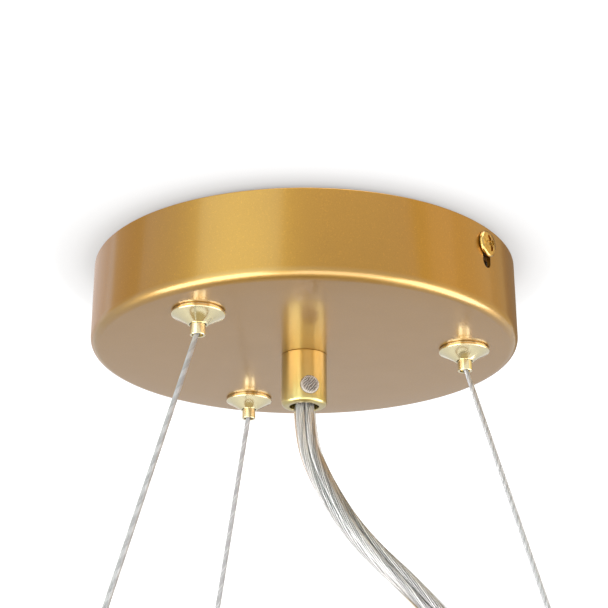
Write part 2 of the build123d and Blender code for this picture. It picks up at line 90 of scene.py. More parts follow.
def half_width(node):
    """Half of a node's width, which is the radius of a round one."""
    low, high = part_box(node)
    return (high[0] - low[0]) / 2


UNDERSIDE = level("canopy_shell")
CANOPY_R = half_width("canopy_shell")
SCREW_SEAT = 70.02 * MM         # the side screws' heads start just outside the shell
RING_R = half_width("ring_housing")
RING_TOP = level("ring_housing", top=True)
RING_BOTTOM = level("ring_housing")
RING_MIDDLE = middle("ring_housing")
RING_MIDDLE.z = 0.0


# ---------------------------------------------------------------- sizes and colours
def length(name, description, default):
    """A length in metres; the next three make the other kinds of settings."""
    return FloatProperty(name=name, description=description, default=default, unit="LENGTH", precision=5)


def angle(name, description, default):
    return FloatProperty(name=name, description=description, default=math.radians(default), unit="ROTATION")


def colour(name, description, default):
    return FloatVectorProperty(name=name, description=description, default=default, subtype="COLOR",
                               min=0.0, max=1.0)


def amount(name, description, default):
    return FloatProperty(name=name, description=description, default=default, subtype="FACTOR")


class CanopySizes(PropertyGroup):
    """Sizes of the pressed canopy and its side screws."""
    radius: length("Radius", "Outside radius of the shell", CANOPY_R)
    height: length("Height", "Ceiling to underside", -UNDERSIDE)
    wall: length("Wall", "Thickness of the sheet", 1.2 * MM)
    rounding: length("Rounding", "Radius of the lower edge", 3.0 * MM)
    lip: length("Lip", "Rounding of the edge at the ceiling", 0.35 * MM)
    centre_hole: length("Centre hole", "Radius of the hole for the cord grip", 5.15 * MM)
    screw_angle: angle("Screw direction", "Where the front side screw sits", -37.5)
    screw_height: length("Screw height", "Middle of the side screws", -6.0 * MM)
    slot_drop: length("Slot drop", "How far the slot runs below the screw", 5.5 * MM)
    slot_width: length("Slot width", "Width of the slot", 4.5 * MM)
    head_radius: length("Head radius", "Radius of a side screw's head", 4.2 * MM)
    head_height: length("Head height", "Height of a side screw's head", 1.8 * MM)


class GripperSizes(PropertyGroup):
    """Sizes of a cable gripper as it shows below the canopy."""
    cap_radius: length("Cap radius", "Radius of the thin rim", 8.2 * MM)
    cap_edge: length("Cap edge", "Height of the thin rim", 1.1 * MM)
    cap_depth: length("Cap depth", "Underside to the foot of the cone", 4.1 * MM)
    nozzle_radius: length("Nozzle radius", "Outside radius of the nozzle", 2.35 * MM)
    nozzle_tip: length("Nozzle tip", "Underside to the end of the nozzle", 7.5 * MM)
    mouth_radius: length("Mouth radius", "Radius of the nozzle's mouth", 1.8 * MM)


class GripSizes(PropertyGroup):
    """Sizes of the cord grip and its clear clamping screw."""
    radius: length("Radius", "Outside radius of the grip", 7.5 * MM)
    height: length("Height", "Underside to the grip's mouth", 17.5 * MM)
    bore: length("Bore", "Radius of the mouth", 4.8 * MM)
    rounding: length("Rounding", "Radius of the lower edge", 1.5 * MM)
    screw_angle: angle("Screw direction", "Where the clamping screw faces", -76.3)
    screw_drop: length("Screw drop", "Underside to the middle of the screw", 12.0 * MM)
    screw_radius: length("Screw radius", "Radius of the clamping screw", 3.0 * MM)


class CableSizes(PropertyGroup):
    """Sizes of the steel cables and of the pieces that hold them on the ring."""
    radius: length("Radius", "Outside radius of a cable", 0.85 * MM)
    lay: length("Lay", "Length of one turn of the strands", 6.5 * MM)
    strands: IntProperty(name="Strands", description="Strands round a cable's core", default=7)
    anchor_radius: length("Anchor radius", "Radius of a ring anchor", 4.0 * MM)
    anchor_height: length("Anchor height", "Height of a ring anchor", 9.5 * MM)


class CordSizes(PropertyGroup):
    """Sizes of the clear power cord."""
    radius: length("Radius", "Outside radius of the sheath", 3.5 * MM)
    core_radius: length("Core radius", "Radius of one stranded core", 1.25 * MM)
    lay: length("Lay", "Length of one turn of the cores", 210.0 * MM)
    cores: IntProperty(name="Cores", description="Stranded cores in the sheath", default=3)
    wire_radius: length("Wire radius", "Radius of one fine wire", 0.22 * MM)
    wire_lay: length("Wire lay", "Length of one turn of the fine wires", 48.0 * MM)
    wires: IntProperty(name="Wires", description="Fine wires that show on a core", default=12)


class RingSizes(PropertyGroup):
    """Sizes of the ring's housing and diffuser."""
    radius: length("Radius", "Outside radius of the housing", RING_R)
    width: length("Width", "Width of the section", 20.0 * MM)
    wall: length("Wall", "Thickness of the housing's walls", 1.5 * MM)
    rounding: length("Rounding", "Radius of the section's corners", 1.2 * MM)
    crown: length("Crown", "How far the diffuser bows out", 1.0 * MM)


class Colours(PropertyGroup):
    """Colours of the finishes."""
    gold: colour("Gold lacquer", "Metallic lacquer of canopy, cord grip and ring", (0.345, 0.172, 0.016))
    # The gold edge colour is a painted highlight: the paler gold of the lower rounding, where the rim's
    # highlight falls.
    edge: colour("Gold edge", "The lacquer where it is thin, on the canopy's lower edge", (0.40, 0.235, 0.06))
    brass: colour("Brass", "Polished brass of grippers, screws and anchors", (0.79, 0.69, 0.41))
    satin: colour("Satin brass", "Brushed brass of the cord grip", (0.55, 0.44, 0.17))
    gilt: colour("Gilt", "Dark gilt plating of the side screws", (0.46, 0.29, 0.08))
    steel: colour("Steel", "Stainless steel of the cables", (0.50, 0.495, 0.495))
    zinc: colour("Zinc", "Zinc-plated steel inside the canopy", (0.55, 0.56, 0.58))
    tin: colour("Tinned copper", "Strands in the clear cord", (0.78, 0.76, 0.76))
    opal: colour("Opal", "Diffuser of the ring", (0.53, 0.53, 0.515))


class StageSettings(PropertyGroup):
    """Camera, ceiling, floor and lights."""
    lens: FloatProperty(name="Lens", description="Focal length on a 36 mm sensor", default=80.79,
                        unit="CAMERA")
    pitch: angle("Pitch", "How far the camera looks up", 20.863)
    yaw: angle("Yaw", "How far the camera turns to the right", 0.47)
    camera: FloatVectorProperty(name="Camera", description="Place of the camera", unit="LENGTH",
                                precision=5, default=(-3.579 * MM, -427.353 * MM, -172.439 * MM))
    floor_drop: length("Floor", "Ceiling to the floor", 1.6)
    ceiling_white: amount("Ceiling white", "Share of the light that the ceiling gives back", 0.135)
    ceiling_glow: amount("Ceiling glow", "White of the ceiling away from the canopy", 1.0)


# ---------------------------------------------------------------- shader graph
class Wire:
    """A node's output. Sums written with wires add Math nodes to their graph."""

    def __init__(self, graph, node, socket):
        self.graph = graph
        self.origin = node
        self.socket = socket

    def out(self, name):
        return Wire(self.graph, self.origin, self.origin.outputs[name])

    def maths(self, operation, first, second=0.0):
        return self.graph.node("ShaderNodeMath", {"operation": operation}, {0: first, 1: second})

    def __add__(self, other):
        return self.maths("ADD", self, other)

    def __sub__(self, other):
        return self.maths("SUBTRACT", self, other)

    def __mul__(self, other):
        return self.maths("MULTIPLY", self, other)

    def __truediv__(self, other):
        return self.maths("DIVIDE", self, other)

    def __pow__(self, other):
        return self.maths("POWER", self, other)

    def __rsub__(self, other):
        return self.maths("SUBTRACT", other, self)

    __radd__ = __add__
    __rmul__ = __mul__


class Graph:
    """A node tree that is built node by node."""

    def __init__(self, tree):
        self.tree = tree

    def connect(self, node, inputs):
        """Wires go to sockets as links, anything else as the socket's own value."""
        for key, value in inputs.items():
            if isinstance(key, int):
                socket = node.inputs[key]
            else:
                socket = next(s for s in node.inputs if s.name == key and s.enabled)
            if isinstance(value, Wire):
                self.tree.links.new(value.socket, socket)
            else:
                socket.default_value = value

    def node(self, kind, settings=None, inputs=None):
        """A node with its settings and inputs, as the wire of its first output."""
        node = self.tree.nodes.new(kind)
        for key, value in (settings or {}).items():
            if key == "stops":
                ramp = node.color_ramp.elements
                while len(ramp) < len(value):
                    ramp.new(0.5)
                for stop, (place, shade) in zip(ramp, value):
                    stop.position = place
                    stop.color = shade if isinstance(shade, tuple) else (shade, shade, shade, 1)
            else:
                setattr(node, key, value)
        self.connect(node, inputs or {})
        return Wire(self, node, next(s for s in node.outputs if s.enabled))

    def larger(self, first, second):
        return self.node("ShaderNodeMath", {"operation": "MAXIMUM"}, {0: first, 1: second})


class Finish(Graph):
    """A material, most often one Principled shader."""

    def __init__(self, name):
        self.material = bpy.data.materials.new(name)
        self.material.use_nodes = True
        super().__init__(self.material.node_tree)
        self.tree.nodes.clear()
        self.surface = self.tree.nodes.new("ShaderNodeOutputMaterial")

    def place(self, scale=(1, 1, 1), move=(0, 0, 0)):
        """Object coordinates, moved and scaled."""
        coordinates = self.node("ShaderNodeTexCoord").out("Object")
        return self.node("ShaderNodeMapping", {}, {"Vector": coordinates, "Location": move, "Scale": scale})

    def noise(self, size, detail=2.0, roughness=0.5, place=None):
        """Soft noise from 0 to 1, whose lumps are about size across."""
        return self.node("ShaderNodeTexNoise", {}, {"Vector": place or self.place(), "Scale": 1 / size,
                                                    "Detail": detail, "Roughness": roughness})

    def ramp(self, value, *stops):
        return self.node("ShaderNodeValToRGB", {"stops": stops}, {"Fac": value})

    def mix(self, factor, first, second):
        return self.node("ShaderNodeMix", {"data_type": "RGBA"},
                         {"Factor": factor, "A": first, "B": second})

    def varied(self, factor, shade, low, high):
        """A colour between two shares of itself."""
        return self.mix(factor, rgba(shade, low), rgba(shade, high))

    def tinted(self, shade, tone):
        """One colour multiplied by another."""
        return self.node("ShaderNodeMix", {"data_type": "RGBA", "blend_type": "MULTIPLY"},
                         {"Factor": 1.0, "A": shade, "B": tone})

    def upright(self, place):
        """Height of a place."""
        return self.node("ShaderNodeSeparateXYZ", {}, {"Vector": place}).out("Z")

    def reach(self, place):
        """Distance of a place from its zero point."""
        return self.node("ShaderNodeVectorMath", {"operation": "LENGTH"}, {0: place}).out("Value")

    def bump(self, height, distance, **inputs):
        return self.node("ShaderNodeBump", {}, {"Height": height, "Distance": distance,
                                                "Strength": 1.0, **inputs})

    def glow(self, shade, strength):
        return self.node("ShaderNodeEmission", {}, {"Color": shade, "Strength": strength})

    def glowing_chalk(self, strength, shade):
        """A matt surface that gives off white light of its own as well."""
        chalk = self.node("ShaderNodeBsdfDiffuse", {}, {"Color": shade})
        return self.node("ShaderNodeAddShader", {}, {0: self.glow(WHITE, strength), 1: chalk})

    def open_behind(self, shader, shown=1.0):
        """A surface that is clear from behind, and from the front where shown is 0."""
        facing = 1 - self.node("ShaderNodeNewGeometry").out("Backfacing")
        clear = self.node("ShaderNodeBsdfTransparent")
        return self.show(self.node("ShaderNodeMixShader", {}, {0: facing * shown, 1: clear, 2: shader}))

    def principled(self, **inputs):
        named = {key.replace("_", " "): value for key, value in inputs.items()}
        return self.show(self.node("ShaderNodeBsdfPrincipled", {}, named))

    def show(self, shader):
        """Puts a shader on the surface and gives the material."""
        self.tree.links.new(shader.socket, self.surface.inputs["Surface"])
        return self.material


def rgba(shade, share=1.0):
    """A colour for a socket, darker or brighter by share."""
    return (shade[0] * share, shade[1] * share, shade[2] * share, 1.0)


# ---------------------------------------------------------------- finishes
def gold_lacquer(shade, painted_highlight_shade):
    """Satin metallic lacquer: flakes under a clear coat with painted glints, and a painted highlight: paler
    gold on the canopy's lower rounding.
    """
    f = Finish("gold_lacquer")
    # Painted highlight: the base colour turns paler in a band on the lower rounding, where the rim's
    # highlight falls, so that the highlight reads whiter.
    highlight_height, highlight_spread = UNDERSIDE + 1.4 * MM, 2.2 * MM
    highlight_start, highlight_fade = CANOPY_R - 3.4 * MM, 2 * MM
    off_highlight = f.node("ShaderNodeMath", {"operation": "ABSOLUTE"}, {0: f.upright(f.place()) - highlight_height})
    on_highlight_rim = f.ramp((f.reach(f.place((1, 1, 0))) - highlight_start) / highlight_fade, (0.0, 0.0), (1.0, 1.0))
    edge = f.ramp(off_highlight / highlight_spread, (0.30, 1.0), (1.0, 0.0)) * on_highlight_rim
    flakes = f.noise(0.35 * MM, 3.0, 0.7)
    clouds = f.noise(14 * MM, 3.0)
    tone = f.varied(clouds, shade, 0.95, 1.05)
    glitter = f.ramp(flakes, (0.30, 0.0), (0.72, 1.0))
    # The sparse bright specks are painted glints of the flakes; the broader flake grain is the lacquer's own
    # tone.
    painted_glints = f.ramp(f.noise(0.5 * MM, 1.0, 0.6), (0.60, 0.0), (0.72, 1.0))
    lacquer = f.mix(glitter * 0.25 + painted_glints * 0.25, tone, rgba(shade, 1.8))
    base = f.mix(edge, lacquer, rgba(painted_highlight_shade))
    peel = f.bump(f.noise(2.2 * MM, 1.0), 0.004 * MM)
    grain = f.bump(flakes, 0.012 * MM, Normal=peel)
    return f.principled(Base_Color=base, Metallic=1.0, Roughness=0.36 + glitter * 0.08 - clouds * 0.04,
                        Normal=grain, Coat_Weight=1.0, Coat_Roughness=0.15, Coat_IOR=1.5)


def polished_brass(shade):
    """Turned and polished brass with fine lathe lines and dull specks."""
    f = Finish("polished_brass")
    lines = f.noise(3 * MM, 2.0, place=f.place((1, 1, 40)))
    dull = f.noise(1.3 * MM, 3.0)
    base = f.varied(dull, shade, 0.94, 1.05)
    return f.principled(Base_Color=base, Metallic=1.0, Roughness=0.10 + lines * 0.08 + dull * 0.05,
                        Normal=f.bump(lines, 0.004 * MM), Coat_Weight=1.0, Coat_Roughness=0.04,
                        Coat_IOR=1.5)


def satin_brass(shade):
    """Brushed and lacquered brass of the cord grip, its fine brush lines running round it."""
    f = Finish("satin_brass")
    brushing = f.noise(2 * MM, 3.0, place=f.place((1, 1, 60)))
    dull = f.noise(2.0 * MM, 3.0)
    base = f.varied(dull, shade, 0.94, 1.05)
    return f.principled(Base_Color=base, Metallic=1.0, Roughness=0.24 + brushing * 0.08 + dull * 0.04,
                        Normal=f.bump(brushing, 0.003 * MM), Coat_Weight=0.6, Coat_Roughness=0.12)


def gilt_screw(shade):
    """Dark gilt plating of the side screws, worn a little paler in spots."""
    f = Finish("gilt_screw")
    wear = f.noise(0.9 * MM, 3.0)
    base = f.mix(f.ramp(wear, (0.40, 0.0), (0.68, 1.0)), rgba(shade), rgba(shade, 1.5))
    return f.principled(Base_Color=base, Metallic=1.0, Roughness=0.12 + wear * 0.12,
                        Normal=f.bump(wear, 0.03 * MM), Coat_Weight=0.5, Coat_Roughness=0.05)


def cable_steel(shade):
    """Drawn stainless wire, each strand of its own tone."""
    f = Finish("cable_steel")
    patina = f.noise(0.8 * MM, 3.0)
    worn = f.varied(patina, shade, 0.85, 1.1)
    strand_tone = f.node("ShaderNodeNewGeometry").out("Random Per Island")
    base = f.tinted(worn, f.ramp(strand_tone, (0.0, 0.62), (1.0, 1.05)))
    wires = f.noise(0.25 * MM, 1.0, place=f.place((1, 1, 0.25)))
    return f.principled(Base_Color=base, Metallic=0.6, Roughness=0.34 + patina * 0.2,
                        Normal=f.bump(wires, 0.01 * MM))


def zinc_plate(shade):
    """Zinc-plated steel with a cloudy passivated bloom."""
    f = Finish("zinc_plate")
    bloom = f.noise(6 * MM, 4.0)
    base = f.mix(bloom, rgba(shade, 0.85), (shade[0] * 1.08, shade[1] * 1.06, shade[2] * 0.98, 1))
    grain = f.noise(0.6 * MM, 2.0)
    return f.principled(Base_Color=base, Metallic=1.0, Roughness=0.28 + bloom * 0.14,
                        Normal=f.bump(grain, 0.01 * MM))


def moulded(name, shade, roughness, texture=0.02):
    """Moulded plastic with a fine eroded texture."""
    f = Finish(name)
    cloud = f.noise(8 * MM, 2.0)
    grain = f.noise(0.5 * MM, 2.0)
    base = f.varied(cloud, shade, 0.95, 1.03)
    return f.principled(Base_Color=base, Roughness=roughness + grain * 0.12,
                        Normal=f.bump(grain, texture * MM))


def earth_insulation():
    """Green insulation with yellow patches."""
    f = Finish("earth_insulation")
    stripe = f.ramp(f.noise(1.6 * MM, 0.0, place=f.place((0.2, 0.2, 3))), (0.49, 0.0), (0.52, 1.0))
    base = f.mix(stripe, (0.03, 0.22, 0.05, 1), (0.75, 0.62, 0.05, 1))
    return f.principled(Base_Color=base, Roughness=0.42)


def clear_plastic(face, radius):
    """Clear clamping screw: a soft milky rim, and a painted view of the cord's fine grey strands twisting
    behind it.
    """
    f = Finish("clear_plastic")
    local = f.place(move=tuple(-face))
    strand_spacing = 0.72 * MM
    rim = f.ramp(f.reach(local) / radius, (0.70, 0.0), (0.95, 1.0))
    slant = f.node("ShaderNodeMapping", {"vector_type": "TEXTURE"},
                   {"Vector": local, "Rotation": (0, math.radians(38), 0)})
    bands = f.node("ShaderNodeTexWave", {"wave_type": "BANDS", "bands_direction": "X"},
                   {"Vector": slant, "Scale": math.tau / (20 * strand_spacing), "Distortion": 6.5,
                    "Detail": 2.0, "Detail Scale": 0.8}).out("Fac")
    # The twisting bands are a painted view of the cord's strands seen through the screw, with painted shade
    # between them; they also roughen and bump its face.
    painted_strands = f.ramp(bands * 0.75 + f.noise(0.5 * MM, 2.0, place=slant) * 0.25, (0.15, 0.0), (0.85, 1.0))
    painted_view = f.mix(painted_strands, (0.13, 0.11, 0.10, 1), (0.50, 0.46, 0.42, 1))
    base = f.mix(rim, painted_view, (0.60, 0.54, 0.48, 1))
    return f.principled(Base_Color=base, Roughness=0.16 + painted_strands * 0.1, IOR=1.49,
                        Transmission_Weight=0.35, Normal=f.bump(painted_strands, 0.12 * MM))


def clear_sheath():
    """Transparent soft plastic of the power cord, a touch milky and uneven."""
    f = Finish("clear_sheath")
    haze = f.noise(5 * MM, 2.0)
    base = f.mix(haze, (0.93, 0.92, 0.89, 1), (0.98, 0.98, 0.96, 1))
    return f.principled(Base_Color=base, Roughness=0.05 + haze * 0.08, IOR=1.42, Transmission_Weight=1.0,
                        Normal=f.bump(haze, 0.02 * MM))


def tinned_strands(shade):
    """Bundle of fine tinned wires, each one of its own tone."""
    f = Finish("tinned_strands")
    patina = f.noise(1.0 * MM, 3.0)
    wire = f.node("ShaderNodeNewGeometry").out("Random Per Island")
    tone = f.ramp(wire, (0.0, 0.38), (0.45, 0.78), (1.0, 1.2))
    worn = f.varied(patina, shade, 0.8, 1.1)
    return f.principled(Base_Color=f.tinted(worn, tone), Metallic=0.8, Roughness=0.26 + patina * 0.2)


def strip_board():
    """White solder mask of the strip with the yellow windows of its chips."""
    f = Finish("strip_board")
    chip_depth = 0.75 * MM
    low = f.node("ShaderNodeMath", {"operation": "LESS_THAN"},
                 {0: f.upright(f.place()), 1: level("led_strip") + chip_depth})
    speck = f.noise(0.7 * MM, 2.0)
    mask = f.mix(speck, (0.74, 0.74, 0.72, 1), (0.82, 0.82, 0.80, 1))
    base = f.mix(low, mask, (0.82, 0.62, 0.12, 1))
    return f.principled(Base_Color=base, Roughness=0.38 + speck * 0.1)


def opal_diffuser(shade):
    """Milky extruded diffuser with a soft satin skin."""
    f = Finish("opal_diffuser")
    cloud = f.noise(30 * MM, 2.0)
    grain = f.noise(0.5 * MM, 2.0)
    base = f.varied(cloud, shade, 0.98, 1.02)
    return f.principled(Base_Color=base, Roughness=0.34 + grain * 0.08, Subsurface_Weight=0.15,
                        Subsurface_Radius=(0.004, 0.004, 0.004), Normal=f.bump(grain, 0.008 * MM))


FINISHES = {}


def grip_face(sizes):
    """Middle of the clamping screw's outer face."""
    return outward(sizes.screw_angle, sizes.radius) + UP * (UNDERSIDE - sizes.screw_drop)


def make_finishes(colours, sizes):
    """One material for each finish of the record, by the name of its slot."""
    FINISHES.update({
        "gold_paint": gold_lacquer(colours.gold, colours.edge),
        "brass": polished_brass(colours.brass),
        "steel": cable_steel(colours.steel),
        "zinc_steel": zinc_plate(colours.zinc),
        "white_plastic": moulded("white_plastic", (0.80, 0.80, 0.77), 0.34),
        "clear_plastic": clear_plastic(grip_face(sizes), sizes.screw_radius),
        "clear_cord": clear_sheath(),
        "green_wire": earth_insulation(),
        "brown_wire": moulded("brown_insulation", (0.16, 0.06, 0.025), 0.38, 0.01),
        "white_wire": moulded("white_insulation", (0.78, 0.78, 0.75), 0.38, 0.01),
        "led_board": strip_board(),
        "opal": opal_diffuser(colours.opal),
        "satin_brass": satin_brass(colours.satin),
        "gilt_screw": gilt_screw(colours.gilt),
        "tinned_strands": tinned_strands(colours.tin),
    })


# ---------------------------------------------------------------- modelling by hand
def added(name, data):
    """A new object in the scene."""
    thing = bpy.data.objects.new(name, data)
    bpy.context.scene.collection.objects.link(thing)
    return thing


def deselect():
    """Nothing is selected, in object mode."""
    if bpy.context.mode != "OBJECT":
        bpy.ops.object.mode_set(mode="OBJECT")
    bpy.ops.object.select_all(action="DESELECT")


def settle(piece, smooth=SHARP):
    """Applies a piece's place and smooths its surface between the crisp edges."""
    deselect()
    bpy.context.view_layer.objects.active = piece
    piece.select_set(True)
    bpy.ops.object.transform_apply(location=True, rotation=True, scale=True)
    bpy.ops.object.shade_smooth_by_angle(angle=smooth)
    return piece


def rounded(*corners, steps=5):
    """Outline through (radius, height) corners; a third number is the radius of a corner's arc."""
    points = []
    for index, corner in enumerate(corners):
        here = Vector(corner[:2])
        if len(corner) < 3:
            points.append(here)
            continue
        before = (Vector(corners[index - 1][:2]) - here).normalized()
        after = (Vector(corners[(index + 1) % len(corners)][:2]) - here).normalized()
        half = before.angle(after) / 2
        centre = here + (before + after).normalized() * corner[2] / math.sin(half)
        start = here + before * corner[2] / math.tan(half) - centre
        end = here + after * corner[2] / math.tan(half) - centre
        turn = math.copysign(math.pi - 2 * half, start.x * end.y - start.y * end.x)
        for step in range(steps + 1):
            a = turn * step / steps
            points.append(centre + Vector((start.x * math.cos(a) - start.y * math.sin(a),
                                           start.x * math.sin(a) + start.y * math.cos(a))))
    return points


def lathe(name, outline, foot=(0, 0, 0), steps=96):
    """Turned piece: a vertex is extruded along the outline and spun about the upright through foot."""
    deselect()
    x, y, z = foot
    bpy.ops.mesh.primitive_plane_add(size=MM, location=(x + outline[0][0], y, z + outline[0][1]))
    piece = bpy.context.object
    piece.name = name
    bpy.ops.object.mode_set(mode="EDIT")
    bpy.ops.mesh.merge(type="CENTER")
    for here, there in zip(outline, outline[1:]):
        step = (there[0] - here[0], 0, there[1] - here[1])
        bpy.ops.mesh.extrude_region_move(TRANSFORM_OT_translate={"value": step, "orient_type": "GLOBAL"})
    bpy.ops.mesh.select_all(action="SELECT")
    bpy.ops.mesh.spin(steps=steps, angle=math.tau, center=foot, axis=(0, 0, 1))
    bpy.ops.mesh.select_all(action="SELECT")
    bpy.ops.mesh.remove_doubles(threshold=MERGE)
    bpy.ops.mesh.normals_make_consistent(inside=False)
    return settle(piece)


def turned_to(piece, azimuth, place):
    """Lays an upright piece down, so that its top faces outward along an azimuth at place."""
    lay = Matrix.Translation(place) @ Matrix.Rotation(azimuth, 4, "Z") @ Matrix.Rotation(math.pi / 2, 4, "Y")
    piece.matrix_world = lay
    return settle(piece)


def modified(piece, kind, **settings):
    """Puts a modifier on a piece and applies it."""
    deselect()
    bpy.context.view_layer.objects.active = piece
    modifier = piece.modifiers.new(kind, kind)
    for key, value in settings.items():
        setattr(modifier, key, value)
    bpy.ops.object.modifier_apply(modifier=modifier.name)
    return settle(piece)


def cut(piece, cutter):
    """Takes the cutter's shape out of a piece."""
    modified(piece, "BOOLEAN", operation="DIFFERENCE", solver="EXACT", object=cutter)
    bpy.data.objects.remove(cutter)
    return piece


def drilled(piece, radius, depth, azimuth, place, vertices):
    """Drills a hole into the side of a piece."""
    deselect()
    bpy.ops.mesh.primitive_cylinder_add(vertices=vertices, radius=radius, depth=depth)
    return cut(piece, turned_to(bpy.context.object, azimuth, place))


def broken_edges(piece, width):
    """Rounds the sharp edges that a cut has left."""
    return modified(piece, "BEVEL", width=width, segments=2, limit_method="ANGLE",
                    angle_limit=math.radians(50))


def box_cutter(size, place, turn):
    """A block used to cut a recess, turned by a rotation matrix."""
    deselect()
    bpy.ops.mesh.primitive_cube_add(size=1, location=(0, 0, 0))
    block = bpy.context.object
    block.matrix_world = Matrix.Translation(place) @ turn.to_4x4() @ Matrix.Diagonal((*size, 1))
    bpy.ops.object.transform_apply(location=True, rotation=True, scale=True)
    return block


def dress(piece, slot, *nodes, body="root", finish=None):
    """Gives a finished piece its finish, its body and the nodes that it stands for."""
    piece.data.materials.clear()
    piece.data.materials.append(FINISHES[finish or slot])
    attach(piece, body)
    if nodes:
        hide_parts(*nodes)
    return piece


def outward(azimuth, reach=1.0):
    """A level step from the upright axis, in the direction of an azimuth."""
    return Vector((math.cos(azimuth) * reach, math.sin(azimuth) * reach, 0))


# ---------------------------------------------------------------- pieces
def canopy(sizes):
    """The pressed shell with its rounded lower edge, centre hole and two side slots."""
    r, h, wall, fillet = sizes.radius, sizes.height, sizes.wall, sizes.rounding
    hole = sizes.centre_hole
    mid_wall = -15.5 * MM
    outline = rounded((hole, -h), (r * 0.35, -h), (r * 0.8, -h), (r, -h, fillet), (r, mid_wall),
                      (r, 0, sizes.lip), (r - wall, 0), (r - wall, -h + wall, fillet - wall),
                      (hole, -h + wall), (hole, -h), steps=12)
    shell = lathe("canopy_shell_smooth", outline, steps=288)
    for turn in (0, math.pi):
        azimuth = sizes.screw_angle + turn
        middle_z = sizes.screw_height - sizes.slot_drop / 2
        half = sizes.slot_width / 2
        deselect()
        bpy.ops.mesh.primitive_cylinder_add(vertices=32, radius=half, depth=6 * MM)
        slot = bpy.context.object
        bpy.ops.object.mode_set(mode="EDIT")
        bpy.ops.mesh.select_all(action="SELECT")
        bpy.ops.mesh.bisect(plane_co=(0, 0, 0), plane_no=(1, 0, 0))
        bpy.ops.object.mode_set(mode="OBJECT")
        for vertex in slot.data.vertices:
            if abs(vertex.co.x) > MERGE:
                vertex.co.x += math.copysign(sizes.slot_drop / 2, vertex.co.x)
        turned_to(slot, azimuth, outward(azimuth, r) + UP * middle_z)
        cut(shell, slot)
    dress(shell, "gold_paint", "canopy_shell")


class Maker:
    """What every operator does: it makes its pieces."""

    def execute(self, context):
        self.make(context.scene)
        return {"FINISHED"}


class CHANDELIER_OT_canopy(Maker, Operator):
    """Turn the pressed canopy shell and cut its side slots"""
    bl_idname = "chandelier.canopy"
    bl_label = "Canopy shell"

    def make(self, scene):
        canopy(scene.canopy_sizes)


def side_screws(sizes):
    """Two pan heads with cross recesses and a short shank."""
    heads = []
    for turn in (0, math.pi):
        azimuth = sizes.screw_angle + turn
        rad, high = sizes.head_radius, sizes.head_height
        shank, shank_foot = 2.0 * MM, -4.5 * MM
        arm_long, arm_wide, arm_deep = 5.0 * MM, 1.5 * MM, 2.2 * MM
        outline = rounded((0, high), (rad * 0.4, high - 0.05 * MM), (rad, high * 0.68, 0.9 * MM),
                          (rad, 0.25 * MM), (rad - 0.25 * MM, 0), (shank, 0), (shank, shank_foot),
                          (0, shank_foot), steps=10)
        head = lathe("side_screw", outline, steps=64)
        for arm in ((arm_wide, arm_long, arm_deep), (arm_long, arm_wide, arm_deep)):
            cut(head, box_cutter(arm, Vector((0, 0, high)), Matrix.Rotation(math.radians(20), 3, "Z")))
        broken_edges(head, 0.24 * MM)
        heads.append(turned_to(head, azimuth, outward(azimuth, SCREW_SEAT) + UP * sizes.screw_height))
    return joined(heads, "canopy_side_screws_smooth")


def joined(pieces, name):
    """Several meshes as one object."""
    deselect()
    for piece in pieces:
        piece.select_set(True)
    bpy.context.view_layer.objects.active = pieces[0]
    if len(pieces) > 1:
        bpy.ops.object.join()
    pieces[0].name = name
    return pieces[0]


class CHANDELIER_OT_side_screws(Maker, Operator):
    """Turn the two screws that hold the canopy on its bracket"""
    bl_idname = "chandelier.side_screws"
    bl_label = "Side screws"

    def make(self, scene):
        dress(side_screws(scene.canopy_sizes), "brass", "canopy_side_screws", finish="gilt_screw")


def gripper(name, sizes):
    """Cap with its thin rim and cone, and the nozzle that is pressed to free the cable."""
    foot = middle(f"gripper_cap_{name}")
    foot.z = UNDERSIDE
    rim, edge, depth = sizes.cap_radius, sizes.cap_edge, sizes.cap_depth
    nozzle = sizes.nozzle_radius
    ledge, soft, throat = rim - 0.45 * MM, 0.3 * MM, 4.03 * MM
    way = nozzle + 0.25 * MM        # the cap's hole leaves the nozzle this much room
    cap = rounded((ledge, -0.22 * MM), (rim, -0.25 * MM, soft), (rim, -edge, soft),
                  (rim - 0.5 * MM, -edge - 0.12 * MM), (3.35 * MM, 0.25 * MM - depth),
                  (3.1 * MM, -depth, 0.15 * MM), (way, -depth), (way, -2.0 * MM), (throat, -1.8 * MM),
                  (throat, 0), (ledge, 0), (ledge, -0.22 * MM), steps=5)
    dress(lathe(f"gripper_cap_{name}_smooth", cap, foot), "brass", f"gripper_cap_{name}")
    tip = -sizes.nozzle_tip
    mouth = sizes.mouth_radius - 0.1 * MM
    collar, collar_foot, collar_top = 3.2 * MM, -1.75 * MM, -0.75 * MM
    neck, bore, top = 2.2 * MM, 1.0 * MM, 8 * MM
    stem = rounded((mouth, tip + 0.1 * MM), (nozzle - 0.1 * MM, tip, 0.04 * MM),
                   (nozzle, tip + 0.12 * MM, 0.05 * MM), (nozzle, collar_foot), (collar, collar_foot),
                   (collar, collar_top), (neck, collar_top), (neck, top), (bore, top),
                   (bore, tip + 2.4 * MM), (mouth, tip + 1.6 * MM), (mouth, tip + 0.1 * MM), steps=4)
    dress(lathe(f"gripper_plunger_{name}_smooth", stem, foot, 64), "brass", f"gripper_plunger_{name}",
          body=f"plunger_{name}")


class CHANDELIER_OT_grippers(Maker, Operator):
    """Turn the caps and nozzles of the three cable grippers"""
    bl_idname = "chandelier.grippers"
    bl_label = "Cable grippers"

    def make(self, scene):
        for name in NAMES:
            gripper(name, scene.gripper_sizes)


